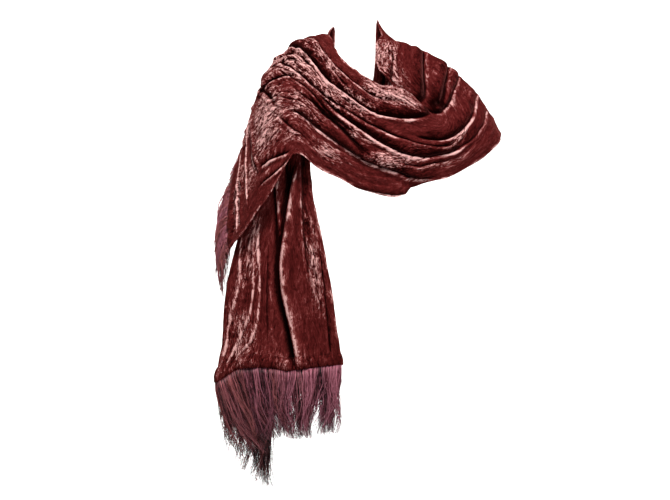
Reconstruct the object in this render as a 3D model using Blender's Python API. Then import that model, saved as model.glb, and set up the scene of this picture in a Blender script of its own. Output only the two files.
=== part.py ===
"""Evening stole: one long velvet sheet worn round the neck, with a feather fringe on each end.

The sheet runs from the front end, up the right chest, over the right shoulder, round the nape, over the left
shoulder, across the chest as a swag, and over the right shoulder again to the back end.

Frame: +Z up, the wearer faces -Y and the wearer's left is +X. The origin is the middle of the neck's base.
"""

import bpy
import numpy as np

MM = 0.001
WALL = 0.0026  # velvet with its pile, and its turned-in edges
HEM_WALL = 0.0062
HEM_DEPTH = 0.020
SEAM_GAP = 0.0003
FRINGE_ROOT = 0.005  # thickness of the fringe where it is sewn on
FRINGE_GAP = 0.0006
# The fringes' lengths and greatest thickness from the inner edge (0) to the outer one (1). The front one is thin
# where the sheet is folded. The back one leans away from the arm.
FRONT_FRINGE = {
    "across": (0.0, 0.30, 0.60, 0.68, 0.76, 1.0),
    "length_mm": (150, 150, 160, 170, 190, 190),
    "belly_mm": (14, 16, 12, 5, 12, 16),
}
BACK_FRINGE = {
    "across": (0.0, 0.5, 0.8, 1.0),
    "length_mm": (130, 150, 160, 150),
    "belly_mm": (14, 16, 16, 14),
    "lean": (0, 0.3, 1.0, 0.7),
}
LEAN_AWAY = np.array([-1.0, 0.0, -0.8])
DOWN = np.array([0.0, 0.0, -1.0])
STEPS_ACROSS = 30  # mesh cells across the sheet's width
STEPS_DOWN_FRINGE = 4

# One row for each section across the sheet, in millimetres, from the front end to the back end.
# inner is the edge on the neck side, crest the middle of the section, outer the other long edge.
# full is 1 for a soft bow and higher for a section that folds sharply at its crest.
SECTION_COLUMNS = ("name", "inner", "crest", "outer", "full")
SECTIONS = (
    ("front_end", (-27, -130, -678), (-301, -106, -700), (-176, -58, -744), 2.6),
    ("fall_4", (-36, -129, -620), (-287, -98, -634), (-172, -58, -664), 2.6),
    ("fall_3", (-48, -127, -530), (-281, -92, -533), (-166, -58, -548), 2.6),
    ("fall_2", (-70, -121, -410), (-256, -82, -410), (-158, -58, -414), 2.6),
    ("fall_1", (-92, -112, -300), (-214, -86, -300), (-146, -62, -302), 2.6),
    ("fall_0", (-98, -104, -215), (-184, -98, -216), (-138, -78, -216), 2.6),
    ("under_3", (-94, -94, -140), (-128, -99, -146), (-166, -90, -152), 1.0),
    ("under_2", (-86, -62, -52), (-122, -72, -62), (-158, -72, -92), 1.0),
    ("under_1", (-76, -8, 20), (-134, 4, -8), (-182, 16, -78), 1.0),
    ("nape_right_2", (-62, 26, 44), (-148, 54, -44), (-186, 84, -180), 1.0),
    ("nape_right_1", (-46, 46, 78), (-90, 97, -52), (-118, 124, -205), 1.0),
    ("nape_right_0", (-40, 76, -38), (-56, 108, -104), (-66, 133, -226), 1.0),
    ("nape", (0, 88, -54), (0, 112, -126), (0, 136, -232), 1.0),
    ("nape_left_0", (38, 76, -56), (58, 110, -118), (70, 135, -230), 1.0),
    ("nape_left_1", (51, 46, 85), (95, 101, -52), (130, 130, -218), 1.0),
    ("nape_left_2", (61, 34, 52), (188, 62, -26), (258, 88, -198), 1.0),
    ("left_top", (49, 10, 36), (206, 5, -4), (322, -5, -170), 1.0),
    ("left_front_1", (59, -38, -30), (214, -60, -54), (325, -42, -176), 1.0),
    ("left_front_2", (108, -80, -86), (226, -106, -114), (314, -75, -194), 1.0),
    ("left_turn", (148, -97, -116), (228, -126, -160), (280, -100, -224), 1.0),
    ("swag_1", (160, -112, -124), (207, -148, -192), (222, -134, -262), 1.0),
    ("swag_2", (143, -126, -108), (163, -162, -195), (165, -150, -278), 1.0),
    ("swag_3", (106, -126, -80), (110, -165, -192), (108, -157, -300), 1.0),
    ("swag_4", (50, -114, -64), (38, -160, -178), (40, -156, -303), 1.0),
    ("swag_5", (6, -100, -34), (-20, -150, -150), (-24, -152, -277), 1.0),
    ("swag_6", (-28, -76, -6), (-70, -134, -112), (-84, -152, -247), 1.0),
    ("swag_7", (-45, -46, 24), (-118, -114, -58), (-128, -150, -216), 1.0),
    ("right_1", (-56, -12, 50), (-166, -84, -34), (-153, -146, -250), 1.0),
    ("right_2", (-74, 20, 58), (-203, -50, -52), (-181, -144, -303), 1.0),
    ("right_3", (-96, 56, 44), (-217, -4, -86), (-215, -136, -348), 1.0),
    ("right_4", (-116, 90, 8), (-236, 42, -140), (-246, -122, -393), 1.0),
    ("back_end", (-146, 120, -48), (-256, 80, -214), (-277, -76, -425), 1.0),
)
AT = {row[0]: float(i) for i, row in enumerate(SECTIONS)}

# Folds that run along the sheet. Each follows a line from one section to another, whose place across the sheet
# is given at its start, middle and end, from 0 at the inner edge to 1 at the outer one. width is also a share
# of the sheet's width. A fold rises gently on its inner side and drops into a crease on its outer side.
FOLD_COLUMNS = ("start", "end", "place", "height_mm", "width")
FOLDS = (
    ("nape_left_2", "right_3", (0.04, 0.12, 0.09), 15, 0.060),
    ("nape_left_2", "right_4", (0.16, 0.28, 0.20), 12, 0.050),
    ("left_top", "right_4", (0.27, 0.42, 0.33), 14, 0.060),
    ("nape", "right_4", (0.36, 0.54, 0.47), 16, 0.060),
    ("left_top", "right_3", (0.50, 0.68, 0.63), 13, 0.060),
    ("nape_left_1", "right_2", (0.66, 0.84, 0.78), 12, 0.060),
    ("swag_3", "right_3", (0.96, 0.94, 0.92), 10, 0.040),
    ("front_end", "under_2", (0.12, 0.12, 0.22), 10, 0.050),
    ("front_end", "under_1", (0.22, 0.34, 0.50), 13, 0.060),
    ("fall_3", "under_1", (0.44, 0.48, 0.70), 10, 0.050),
    ("front_end", "under_3", (0.60, 0.56, 0.80), 9, 0.040),
    ("under_2", "nape_left_2", (0.30, 0.32, 0.30), 12, 0.070),
    ("under_2", "left_top", (0.62, 0.60, 0.60), 14, 0.080),
    ("nape_right_2", "nape_left_2", (0.85, 0.86, 0.85), 12, 0.070),
)
GENTLE_SIDE, STEEP_SIDE = 1.25, 0.60  # a fold's two flanks, in widths
CREASE_OFFSET, CREASE_WIDTH, CREASE_DEPTH = 1.15, 0.45, 0.55  # in widths, widths and heights
FOLD_FADE = 1.2  # sections over which a fold grows and dies away
# Where the sheet doubles back on the chest its inner edge is pinched, and the folds there lie flat.
PINCH = {"place": AT["left_turn"] + 1.0, "reach": 1.9, "across": 0.55, "flattened": 0.92}

# Folds that hang down the right arm, across the sheet. place counts sections from the front end.
HANG_COLUMNS = ("place", "inner", "outer", "height_mm", "width")
HANGS = (
    ((AT["right_1"] + 0.75, AT["right_3"] + 0.30), 0.36, 0.94, 10, 0.22),
    ((AT["right_2"] + 0.60, AT["right_4"] + 0.05), 0.34, 0.99, 11, 0.20),
    ((AT["right_3"] + 0.55, AT["right_4"] + 0.60), 0.34, 1.00, 9, 0.18),
)

# Stretches of the sheet, each a node of its own, with its mesh cells along the sheet.
STRETCHES = (
    ("front_fall", "front_end", "fall_0", 9),
    ("under_shoulder", "fall_0", "nape_right_2", 8),
    ("nape_stretch", "nape_right_2", "nape_left_2", 8),
    ("left_shoulder", "nape_left_2", "left_turn", 9),
    ("chest_swag", "left_turn", "swag_7", 10),
    ("right_shoulder", "swag_7", "right_3", 6),
    ("back_fall", "right_3", "back_end", 5),
)
VELVET = dict(color=(0.16, 0.024, 0.026), roughness=0.62)
HEM_VELVET = dict(color=(0.12, 0.016, 0.018), roughness=0.66)
FEATHER = dict(color=(0.21, 0.075, 0.105), roughness=0.55)
BACK_FEATHER = dict(color=(0.17, 0.065, 0.07), roughness=0.6)


def unit(vectors):
    return vectors / np.maximum(np.linalg.norm(vectors, axis=-1, keepdims=True), 1e-12)


def section_points(inner, crest, outer, full, across):
    """Points spaced evenly by length along a conic from inner to outer that passes through crest."""
    inner, crest, outer = (np.array(p, float) * MM for p in (inner, crest, outer))
    corner = crest + (crest - (inner + outer) / 2) / full
    t = np.linspace(0, 1, 400)[:, None]
    weights = (1 - t) ** 2, 2 * full * t * (1 - t), t**2
    curve = (weights[0] * inner + weights[1] * corner + weights[2] * outer) / sum(weights)
    steps = np.linalg.norm(np.diff(curve, axis=0), axis=1)
    length = np.concatenate([[0], np.cumsum(steps)])
    return np.stack([np.interp(across * length[-1], length, curve[:, k]) for k in range(3)], axis=1)


def smooth_between(knots, places, at):
    """Cubic Hermite curves through the knots' points, with slopes from each knot's two neighbours."""
    gap = np.diff(places)
    slope = np.diff(knots, axis=0) / gap[:, None, None]
    tangent = np.concatenate([slope[:1], slope, slope[-1:]])
    share = np.concatenate([[0.5], gap[:-1] / (gap[:-1] + gap[1:]), [0.5]])[:, None, None]
    tangent = tangent[:-1] * (1 - share) + tangent[1:] * share
    i = np.clip(np.searchsorted(places, at, side="right") - 1, 0, len(gap) - 1)
    h = gap[i][:, None, None]
    t = ((at - places[i]) / gap[i])[:, None, None]
    return (
        (1 + 2 * t) * (1 - t) ** 2 * knots[i]
        + t * (1 - t) ** 2 * h * tangent[i]
        + t * t * (3 - 2 * t) * knots[i + 1]
        + t * t * (t - 1) * h * tangent[i + 1]
    )


def rows_of(columns, rows):
    return [dict(zip(columns, row)) for row in rows]


def base_sheet(along, across):
    """The sheet without its folds: sections blended smoothly along it."""
    sections = rows_of(SECTION_COLUMNS, SECTIONS)
    knots = np.array(
        [section_points(s["inner"], s["crest"], s["outer"], s["full"], across) for s in sections]
    )
    middles = knots[:, ::5].mean(axis=1)
    reach = np.concatenate([[0], np.cumsum(np.linalg.norm(np.diff(middles, axis=0), axis=1))])
    return smooth_between(knots, reach, np.interp(along, np.arange(len(reach)), reach))


def rise(x):
    x = np.clip(x, 0, 1)
    return x * x * (3 - 2 * x)


def ridge(x):
    """A fold's profile: a gentle flank, a steep one, and a crease beyond the steep one."""
    flank = np.where(x < 0, GENTLE_SIDE, STEEP_SIDE)
    crease = CREASE_DEPTH * np.exp(-(((x - CREASE_OFFSET) / CREASE_WIDTH) ** 2))
    return np.exp(-((x / flank) ** 2)) - crease


def fold_height(along, across):
    """How far the folds lift the sheet off its base, on the grid of along and across."""
    u, v = np.meshgrid(along, across, indexing="ij")
    lift = np.zeros_like(u)
    for fold in rows_of(FOLD_COLUMNS, FOLDS):
        start, end = AT[fold["start"]], AT[fold["end"]]
        share = (along - start) / (end - start)
        place = np.interp(share, (0, 0.5, 1), fold["place"])[:, None]
        fade = rise((u - start) / FOLD_FADE + 0.35) * rise((end - u) / FOLD_FADE + 0.35)
        lift += MM * fold["height_mm"] * fade * ridge((v - place) / fold["width"])
    near = np.exp(-(((u - PINCH["place"]) / PINCH["reach"]) ** 2)) * rise(1 - v / PINCH["across"])
    lift *= 1 - PINCH["flattened"] * near
    for hang in rows_of(HANG_COLUMNS, HANGS):
        share = (v - hang["inner"]) / (hang["outer"] - hang["inner"])
        place = hang["place"][0] + share * (hang["place"][1] - hang["place"][0])
        fade = rise(share / 0.3) * rise((1 - share) / 0.1 + 0.6)
        lift += MM * hang["height_mm"] * fade * ridge((u - place) / hang["width"])
    return lift


def sheet_grid(along, across):
    """(points, outward normals) of the folded sheet on a grid."""
    fine = base_sheet(along, across)
    normals = unit(np.cross(np.gradient(fine, axis=0), np.gradient(fine, axis=1)))
    points = fine + normals * fold_height(along, across)[:, :, None]
    turned = unit(np.cross(np.gradient(points, axis=0), np.gradient(points, axis=1)))
    return points, unit(turned + 0.6 * normals)


def shell_between(name, outer, inner, material):
    """A closed wall between two grids of points, joined round all four edges."""
    rows, columns = outer.shape[:2]
    index = np.arange(rows * columns).reshape(rows, columns)
    back = index + rows * columns

    def quads(a, b, c, d):
        return np.stack([a.ravel(), b.ravel(), c.ravel(), d.ravel()], axis=1)

    faces = [
        quads(index[:-1, :-1], index[1:, :-1], index[1:, 1:], index[:-1, 1:]),
        quads(back[:-1, :-1], back[:-1, 1:], back[1:, 1:], back[1:, :-1]),
        quads(index[0, :-1], index[0, 1:], back[0, 1:], back[0, :-1]),
        quads(index[-1, :-1], back[-1, :-1], back[-1, 1:], index[-1, 1:]),
        quads(index[1:, 0], index[:-1, 0], back[:-1, 0], back[1:, 0]),
        quads(index[:-1, -1], index[1:, -1], back[1:, -1], back[:-1, -1]),
    ]
    mesh = bpy.data.meshes.new(name)
    points = np.concatenate([outer.reshape(-1, 3), inner.reshape(-1, 3)])
    mesh.from_pydata(points.tolist(), [], np.concatenate(faces).tolist())
    mesh.shade_smooth()
    mesh.materials.append(material)
    piece = bpy.data.objects.new(name, mesh)
    bpy.context.scene.collection.objects.link(piece)
    return piece


def cloth_material(name, color, roughness):
    material = bpy.data.materials.new(name)
    material.use_nodes = True
    shader = material.node_tree.nodes["Principled BSDF"]
    shader.inputs["Base Color"].default_value = (*color, 1.0)
    shader.inputs["Roughness"].default_value = roughness
    material.diffuse_color = (*color, 1.0)
    return material


def length_along(across):
    """(section numbers, length in metres to each) down the sheet's middle line, finely spaced."""
    along = np.linspace(0, len(SECTIONS) - 1, 600)
    middle = base_sheet(along, across).mean(axis=1)
    steps = np.linalg.norm(np.diff(middle, axis=0), axis=1)
    return along, np.concatenate([[0], np.cumsum(steps)])


def build_sheet(across, velvet, hem_velvet):
    """Each stretch of the sheet and each hem, cut out of one grid as a wall of its own. Returns the grid."""
    numbers, lengths = length_along(across)
    end = float(len(SECTIONS) - 1)

    def moved(place, metres):
        return float(np.interp(np.interp(place, numbers, lengths) + metres, lengths, numbers))

    front_seam, back_seam = moved(0.0, HEM_DEPTH), moved(end, -HEM_DEPTH)
    spans = [("front_hem", 0.0, front_seam, 1, HEM_WALL, hem_velvet)]
    for name, start, stop, cells in STRETCHES:
        first, last = max(AT[start], front_seam), min(AT[stop], back_seam)
        spans.append((name, first, last, cells, WALL, velvet))
    spans.append(("back_hem", back_seam, end, 1, HEM_WALL, hem_velvet))
    rows = [np.linspace(first, last, cells + 1) for _, first, last, cells, _, _ in spans]
    along = np.concatenate([rows[0][:-1]] + [row[:-1] for row in rows[1:]] + [rows[-1][-1:]])
    points, normals = sheet_grid(along, across)
    first_row = 0
    for name, start, stop, cells, wall, material in spans:
        last_row = first_row + cells
        piece = points[first_row : last_row + 1].copy()
        half = normals[first_row : last_row + 1] * wall / 2
        for row, toward, joined in ((0, 1, start > 0), (-1, -2, stop < end)):
            if joined:
                piece[row] += unit(piece[toward] - piece[row]) * SEAM_GAP / 2
        shell_between(name, piece + half, piece - half, material)
        first_row = last_row
    return points, normals


def fringe_curtain(edge, outward, facing, sizes, across):
    """(points, half thickness) of a curtain of strands that leaves the edge along outward and falls towards -Z.

    edge, outward and facing are one row of points, of first directions and of face normals.
    """
    length, belly = (np.interp(across, sizes["across"], sizes[key]) * MM for key in ("length_mm", "belly_mm"))
    share = np.linspace(0, 1, STEPS_DOWN_FRINGE + 1)
    turn = rise(share * 1.6)[:, None, None]
    direction = unit((1 - turn) * outward[None] + turn * DOWN)
    step = length[None, :, None] / STEPS_DOWN_FRINGE
    moves = (direction[:-1] + direction[1:]) / 2 * step
    points = edge[None] + np.concatenate([np.zeros_like(moves[:1]), np.cumsum(moves, axis=0)])
    fullness = np.sin(np.pi * np.sqrt(share))[:, None]
    thickness = FRINGE_ROOT + (belly[None, :] - FRINGE_ROOT) * fullness
    return points, facing[None] * thickness[:, :, None] / 2


def build_fringes(points, normals, across, feather, back_feather):
    """The front fringe goes round both layers of the folded front end; the back one hangs off the right arm."""
    edge = points[0] + unit(points[0] - points[1]) * FRINGE_GAP
    curtain, half = fringe_curtain(edge, np.zeros_like(edge) + DOWN, normals[0], FRONT_FRINGE, across)
    shell_between("front_fringe", (curtain + half)[::-1], (curtain - half)[::-1], feather)
    lean = np.interp(across, BACK_FRINGE["across"], BACK_FRINGE["lean"])[:, None]
    away = unit(points[-1] - points[-2])
    edge = points[-1] + away * FRINGE_GAP
    first = unit(away * (1 - lean / 2) + lean * LEAN_AWAY)
    curtain, half = fringe_curtain(edge, first, normals[-1], BACK_FRINGE, across)
    shell_between("back_fringe", curtain + half, curtain - half, back_feather)


def main():
    for leftover in list(bpy.data.objects):
        bpy.data.objects.remove(leftover)
    velvet = cloth_material("velvet", **VELVET)
    hem_velvet = cloth_material("hem_velvet", **HEM_VELVET)
    feather = cloth_material("feather", **FEATHER)
    back_feather = cloth_material("back_feather", **BACK_FEATHER)
    across = np.linspace(0, 1, STEPS_ACROSS + 1)
    points, normals = build_sheet(across, velvet, hem_velvet)
    build_fringes(points, normals, across, feather, back_feather)


main()
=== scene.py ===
"""Evening stole of crushed velvet, worn round the neck, with a feather fringe on each end.

The velvet is one sheet. Its place along the stole is counted in sections, from the front end (0) to the back
end (31), and its place across runs from the edge on the neck side (0) to the other long edge (1). Every
stretch, hem and fringe is worked out from that one surface. Lengths are in metres unless a name ends in mm
or the comment over a table says millimetres.
"""

import functools
import math

import bpy
import numpy as np
from bpy.props import FloatProperty, FloatVectorProperty, IntProperty, PointerProperty
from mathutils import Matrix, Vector


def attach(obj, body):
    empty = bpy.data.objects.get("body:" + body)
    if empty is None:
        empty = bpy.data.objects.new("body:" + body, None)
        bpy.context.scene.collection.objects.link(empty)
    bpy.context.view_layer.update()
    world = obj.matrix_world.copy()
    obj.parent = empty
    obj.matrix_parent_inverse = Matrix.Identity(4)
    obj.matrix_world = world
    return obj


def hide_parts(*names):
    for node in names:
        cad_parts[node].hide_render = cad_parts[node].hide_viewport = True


bl_info = {
    "name": "Evening stole",
    "version": (1, 0, 0),
    "blender": (4, 5, 0),
    "location": "View3D > Sidebar > Stole",
    "description": "Builds a worn crushed-velvet stole with feather fringes",
    "category": "Add Mesh",
}

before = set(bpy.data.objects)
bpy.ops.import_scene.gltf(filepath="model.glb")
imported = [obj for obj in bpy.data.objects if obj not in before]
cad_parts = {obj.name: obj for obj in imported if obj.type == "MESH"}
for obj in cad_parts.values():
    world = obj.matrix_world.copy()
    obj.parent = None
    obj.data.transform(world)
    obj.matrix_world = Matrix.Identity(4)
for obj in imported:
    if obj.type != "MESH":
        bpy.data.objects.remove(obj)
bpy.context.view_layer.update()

MM = 0.001
DOWN = np.array([0.0, 0.0, -1.0])

# One row for each section across the sheet, in millimetres, from the front end to the back end. inner is
# the edge on the neck side, crest the middle of the section, outer the other long edge. full is 1 for a
# soft bow and higher for a section that folds sharply at its crest.
SECTION_COLUMNS = ("name", "inner", "crest", "outer", "full")
SECTIONS = (
    ("front_end", (-27, -130, -678), (-301, -106, -700), (-176, -58, -744), 2.6),
    ("fall_4", (-36, -129, -620), (-287, -98, -634), (-172, -58, -664), 2.6),
    ("fall_3", (-48, -127, -530), (-281, -92, -533), (-166, -58, -548), 2.6),
    ("fall_2", (-70, -121, -410), (-256, -82, -410), (-158, -58, -414), 2.6),
    ("fall_1", (-92, -112, -300), (-214, -86, -300), (-146, -62, -302), 2.6),
    ("fall_0", (-98, -104, -215), (-184, -98, -216), (-138, -78, -216), 2.6),
    ("under_3", (-94, -94, -140), (-128, -99, -146), (-166, -90, -152), 1.0),
    ("under_2", (-86, -62, -52), (-122, -72, -62), (-158, -72, -92), 1.0),
    ("under_1", (-76, -8, 20), (-134, 4, -8), (-182, 16, -78), 1.0),
    ("nape_right_2", (-62, 26, 44), (-148, 54, -44), (-186, 84, -180), 1.0),
    ("nape_right_1", (-46, 46, 78), (-90, 97, -52), (-118, 124, -205), 1.0),
    ("nape_right_0", (-40, 76, -38), (-56, 108, -104), (-66, 133, -226), 1.0),
    ("nape", (0, 88, -54), (0, 112, -126), (0, 136, -232), 1.0),
    ("nape_left_0", (38, 76, -56), (58, 110, -118), (70, 135, -230), 1.0),
    ("nape_left_1", (51, 46, 85), (95, 101, -52), (130, 130, -218), 1.0),
    ("nape_left_2", (61, 34, 52), (188, 62, -26), (258, 88, -198), 1.0),
    ("left_top", (49, 10, 36), (206, 5, -4), (322, -5, -170), 1.0),
    ("left_front_1", (59, -38, -30), (214, -60, -54), (325, -42, -176), 1.0),
    ("left_front_2", (108, -80, -86), (226, -106, -114), (314, -75, -194), 1.0),
    ("left_turn", (148, -97, -116), (228, -126, -160), (280, -100, -224), 1.0),
    ("swag_1", (160, -112, -124), (207, -148, -192), (222, -134, -262), 1.0),
    ("swag_2", (143, -126, -108), (163, -162, -195), (165, -150, -278), 1.0),
    ("swag_3", (106, -126, -80), (110, -165, -192), (108, -157, -300), 1.0),
    ("swag_4", (50, -114, -64), (38, -160, -178), (40, -156, -303), 1.0),
    ("swag_5", (6, -100, -34), (-20, -150, -150), (-24, -152, -277), 1.0),
    ("swag_6", (-28, -76, -6), (-70, -134, -112), (-84, -152, -247), 1.0),
    ("swag_7", (-45, -46, 24), (-118, -114, -58), (-128, -150, -216), 1.0),
    ("right_1", (-56, -12, 50), (-166, -84, -34), (-153, -146, -250), 1.0),
    ("right_2", (-74, 20, 58), (-203, -50, -52), (-181, -144, -303), 1.0),
    ("right_3", (-96, 56, 44), (-217, -4, -86), (-215, -136, -348), 1.0),
    ("right_4", (-116, 90, 8), (-236, 42, -140), (-246, -122, -393), 1.0),
    ("back_end", (-146, 120, -48), (-256, 80, -214), (-277, -76, -425), 1.0),
)
AT = {row[0]: float(i) for i, row in enumerate(SECTIONS)}
LAST = float(len(SECTIONS) - 1)

# Creases that run along the sheet, in millimetres. Above a crease, on the neck side, the cloth swells into
# a roll that hangs over it; below, a lower lip turns up to the light. A negative depth is a raised ridge
# with a painted highlight line on it, and a negative lip a hollow, which puts the painted highlight line on
# the roll instead. path is (section, place across) along the crease.
FOLD_COLUMNS = ("name", "depth", "roll", "lip", "width", "path")
FOLDS = (
    ("neck_roll", 6, 4, 4, 7, (
        (22.4, 0.16), (22.9, 0.14), (23.9, 0.125), (24.9, 0.105), (26.2, 0.115), (29, 0.08),
    )),
    ("under_roll", 19, 9, 8, 11, (
        (20.5, 0.09), (21.4, 0.23), (22.0, 0.285), (22.8, 0.28), (23.5, 0.265), (24.4, 0.245), (25.6, 0.24),
        (27.0, 0.20), (28.5, 0.19), (30.0, 0.20),
    )),
    ("second", 13, 7, 6, 9, (
        (22.1, 0.50), (22.5, 0.45), (22.8, 0.415), (23.5, 0.395), (24.3, 0.39), (25.1, 0.39), (25.6, 0.41),
        (26.5, 0.375), (27.2, 0.345),
    )),
    ("third", 18, 9, 8, 11, (
        (19.6, 0.675), (20.2, 0.655), (21.2, 0.68), (22.0, 0.63), (22.6, 0.545), (23.2, 0.48), (24.0, 0.465),
        (25.1, 0.42),
    )),
    ("wedge", 14, 8, 3, 14, ((23.2, 0.665), (23.8, 0.60), (24.5, 0.53), (25.5, 0.51))),
    ("low", 15, 10, 6, 10, (
        (21.0, 0.945), (21.6, 0.885), (22.3, 0.78), (22.8, 0.74), (23.5, 0.715), (24.4, 0.685), (25.1, 0.67),
        (26.0, 0.685),
    )),
    ("arm_dash", 8, 4, 5, 7, ((25.5, 0.84), (26.0, 0.83), (26.4, 0.77), (26.8, 0.70))),
    ("shoulder_dark", 9, 4, 4, 12, (
        (26.8, 0.655), (27.0, 0.61), (27.4, 0.53), (28.1, 0.425), (28.6, 0.36),
    )),
    ("chest_fine", 5, 3, 3, 6, ((25.0, 0.51), (25.4, 0.525), (25.8, 0.54), (26.2, 0.52))),
    ("hem_curl", 10, 5, 6, 6, ((21.6, 1.0), (22.0, 0.985), (22.4, 0.97), (22.9, 0.97), (23.6, 1.0))),
    ("cuff", 12, 6, 8, 7, ((26.5, 0.955), (27.1, 0.91), (27.6, 0.87), (28.2, 0.84))),
    ("turn_ridge", -6, 0, 0, 6, ((20.6, 0.10), (21.3, 0.17), (21.9, 0.135), (22.6, 0.085), (23.4, 0.03))),
    ("crumple_1", 9, 6, 4, 8, ((26.4, 0.42), (27.2, 0.47), (28.2, 0.50))),
    ("crumple_2", 8, 6, 4, 7, ((27.0, 0.22), (27.8, 0.27), (28.8, 0.30))),
    ("crumple_3", 8, 5, 4, 7, ((26.2, 0.30), (27.0, 0.34), (27.9, 0.37))),
    ("crumple_4", 7, 4, 4, 6, ((24.2, 0.20), (24.8, 0.17), (25.6, 0.165))),
    ("chest_fine_2", 5, 3, 4, 5, ((23.8, 0.33), (24.6, 0.31), (25.4, 0.30), (26.2, 0.27), (27.0, 0.26))),
    ("chest_fine_3", 6, 3, 4, 5, ((23.6, 0.55), (24.4, 0.50), (25.2, 0.47), (26.0, 0.46), (26.8, 0.42))),
    ("chest_fine_4", 5, 3, 4, 5, ((24.8, 0.62), (25.6, 0.60), (26.4, 0.60), (27.2, 0.56))),
    ("swag_fine_1", 5, 3, 3, 5, ((19.8, 0.58), (20.8, 0.58), (21.8, 0.52), (22.4, 0.47))),
    ("swag_fine_2", 4, 3, 3, 5, ((20.4, 0.78), (21.4, 0.79), (22.4, 0.70))),
    ("cuff_edge", 9, 5, 6, 6, ((26.7, 0.99), (27.3, 0.965), (27.9, 0.93), (28.4, 0.91))),
    ("left_1", 12, 5, 4, 10, ((16.4, 0.10), (16.9, 0.08), (17.5, 0.0))),
    ("left_2", 24, 8, 3, 13, (
        (16.0, 0.295), (16.9, 0.29), (17.4, 0.26), (17.8, 0.205), (18.2, 0.12), (18.5, 0.04),
    )),
    ("left_3", 22, 7, 3, 12, (
        (15.9, 0.47), (16.8, 0.46), (17.3, 0.425), (17.7, 0.375), (18.1, 0.30), (18.6, 0.185),
    )),
    ("left_4", 18, 7, 4, 10, (
        (15.9, 0.555), (16.7, 0.545), (17.2, 0.51), (17.7, 0.45), (18.0, 0.39), (18.6, 0.28), (19.3, 0.10),
    )),
    ("left_5", 13, 6, 5, 10, (
        (16.3, 0.70), (17.1, 0.695), (17.7, 0.66), (18.2, 0.625), (18.8, 0.565), (19.3, 0.515), (19.9, 0.48),
        (20.6, 0.49), (21.4, 0.47),
    )),
    ("left_6", 9, 5, 4, 8, ((16.4, 0.81), (17.4, 0.79), (18.0, 0.77), (18.8, 0.73), (19.6, 0.68))),
    ("fall_a", 22, 9, -5, 11, (
        (0.2, 0.235), (0.9, 0.255), (1.7, 0.29), (2.1, 0.31), (2.6, 0.32), (3.1, 0.295), (3.6, 0.27),
        (4.1, 0.24), (4.7, 0.205),
    )),
    ("fall_b", 10, 5, -4, 7, ((2.9, 0.335), (3.3, 0.34), (3.7, 0.365), (4.1, 0.41), (4.6, 0.45))),
    ("fall_c", 12, 6, 3, 8, (
        (2.6, 0.13), (3.2, 0.125), (3.5, 0.115), (3.8, 0.105), (4.2, 0.09), (5.2, 0.10),
    )),
    ("fall_d", 4, 4, 2, 7, ((0.6, 0.05), (1.3, 0.045), (2.0, 0.04), (2.7, 0.035))),
    ("fall_e", -5, 0, 0, 4, (
        (0.3, 0.645), (1.3, 0.63), (1.7, 0.605), (2.1, 0.575), (2.4, 0.575), (3.1, 0.615),
    )),
    ("fall_f", -5, 0, 0, 4, (
        (0.2, 0.615), (0.9, 0.575), (1.2, 0.55), (1.5, 0.51), (1.9, 0.485), (2.2, 0.48), (2.6, 0.49),
        (3.4, 0.54),
    )),
    ("fall_g", -4, 0, 0, 4, (
        (0.5, 0.56), (0.9, 0.50), (1.5, 0.455), (2.0, 0.44), (2.4, 0.445), (3.4, 0.51),
    )),
    ("fall_h", 5, 3, 2, 5, ((1.2, 0.40), (2.0, 0.395), (2.8, 0.40))),
    ("behind_1", 8, 4, 2, 12, ((0.0, 0.80), (2.0, 0.78), (4.0, 0.76), (6.0, 0.66), (8.0, 0.60))),
    ("behind_2", 6, 4, 2, 10, ((0.4, 0.91), (2.2, 0.90), (4.2, 0.88))),
    ("under_1", 9, 5, 2, 9, ((4.2, 0.30), (6.0, 0.36), (8.0, 0.38), (10.0, 0.34))),
    ("under_2", 7, 4, 2, 8, ((5.2, 0.60), (7.0, 0.70), (9.0, 0.74), (11.0, 0.70))),
    ("nape_1", 11, 6, 2, 10, ((8.4, 0.20), (10.0, 0.24), (12.0, 0.28), (13.6, 0.25), (15.6, 0.22))),
    ("nape_2", 12, 7, 2.5, 11, ((8.0, 0.50), (10.0, 0.46), (11.6, 0.50), (13.4, 0.52), (15.8, 0.46))),
    ("nape_3", 9, 6, 2, 10, ((9.0, 0.86), (10.6, 0.74), (12.2, 0.72), (13.8, 0.76), (15.8, 0.68))),
    ("nape_4", 6, 4, 1.5, 8, ((10.2, 0.90), (11.6, 0.88), (13.0, 0.90), (14.4, 0.93))),
    ("behind_arm_1", 9, 5, 5, 11, ((28.4, 0.34), (29.4, 0.31), (30.4, 0.30), (31.0, 0.28))),
    ("behind_arm_2", 7, 4, 4, 10, ((28.0, 0.10), (29.4, 0.10), (31.0, 0.13))),
)

# Broad swellings and hollows: section, place across, reach along in sections, reach across, and height.
SWELL_COLUMNS = ("place", "across", "along_reach", "across_reach", "height_mm")
SWELLS = (
    (28.4, 0.30, 0.60, 0.10, -8),
    (27.3, 0.26, 0.50, 0.09, -10),
    (26.5, 0.12, 0.35, 0.05, 8),
    (28.3, 0.14, 0.50, 0.08, -12),
    (16.3, 0.35, 0.80, 0.12, -5),
    (17.0, 0.59, 0.70, 0.12, -9),
    (0.25, 0.20, 0.30, 0.16, 5),
    (0.25, 0.46, 0.30, 0.12, 5),
    (12.0, 0.55, 2.00, 0.20, 5),
)
# How far the outer edge hangs below its smooth line on the swag: section and drop.
OUTER_EDGE = {"place": (21.5, 21.75, 21.95, 22.3, 23.0, 23.6), "drop_mm": (0, -2, 9, 9, 2, 0)}
# Where the sheet doubles back on the chest its inner edge is pinched, and the folds there lie flat.
PINCH = {"place": AT["left_turn"] + 1.0, "reach": 1.9, "across": 0.55, "flattened": 0.92}

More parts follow.
